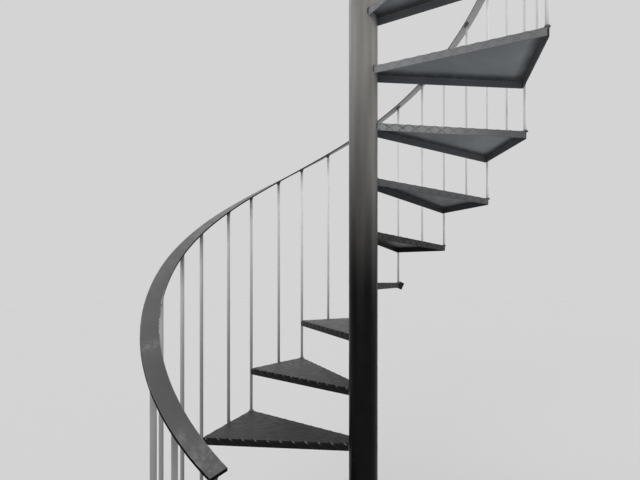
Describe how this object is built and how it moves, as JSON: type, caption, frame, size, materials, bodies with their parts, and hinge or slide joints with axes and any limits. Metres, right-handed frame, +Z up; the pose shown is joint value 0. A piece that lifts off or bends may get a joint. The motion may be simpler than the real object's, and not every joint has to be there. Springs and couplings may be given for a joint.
{
  "type": "spiral staircase",
  "caption": "Steel spiral staircase: round column, folded chequer plate treads, round bar balusters, flat bar handrail and a top landing, climbing clockwise.",
  "frame": {"origin": "on the column's axis, at the underside of the base plate", "axes": "+Z up along the column, -X along the landing's last edge, +Y the way off the landing"},
  "size_m": [1.312, 1.3119, 3.822],
  "materials": {
    "column_paint": "satin",
    "tread_paint": "satin",
    "baluster_paint": "satin",
    "handrail_paint": "satin"
  },
  "bodies": {
    "root": {"base_plate": "column_paint", "column": "column_paint", "column_cap": "column_paint", "tread_1": "tread_paint", "tread_2": "tread_paint", "tread_3": "tread_paint", "tread_4": "tread_paint", "tread_5": "tread_paint", "tread_6": "tread_paint", "tread_7": "tread_paint", "tread_8": "tread_paint", "tread_9": "tread_paint", "tread_10": "tread_paint", "tread_11": "tread_paint", "tread_12": "tread_paint", "tread_13": "tread_paint", "landing": "tread_paint", "landing_angle": "column_paint", "wall_cleat": "tread_paint", "starting_baluster": "baluster_paint", "balusters_1": "baluster_paint", "balusters_2": "baluster_paint", "balusters_3": "baluster_paint", "balusters_4": "baluster_paint", "balusters_5": "baluster_paint", "balusters_6": "baluster_paint", "balusters_7": "baluster_paint", "balusters_8": "baluster_paint", "balusters_9": "baluster_paint", "balusters_10": "baluster_paint", "balusters_11": "baluster_paint", "balusters_12": "baluster_paint", "balusters_13": "baluster_paint", "landing_balusters": "baluster_paint", "handrail_1": "handrail_paint", "handrail_2": "handrail_paint", "handrail_3": "handrail_paint", "handrail_4": "handrail_paint", "handrail_5": "handrail_paint", "handrail_6": "handrail_paint", "handrail_7": "handrail_paint", "handrail_landing": "handrail_paint"}
  },
  "joints": []
}
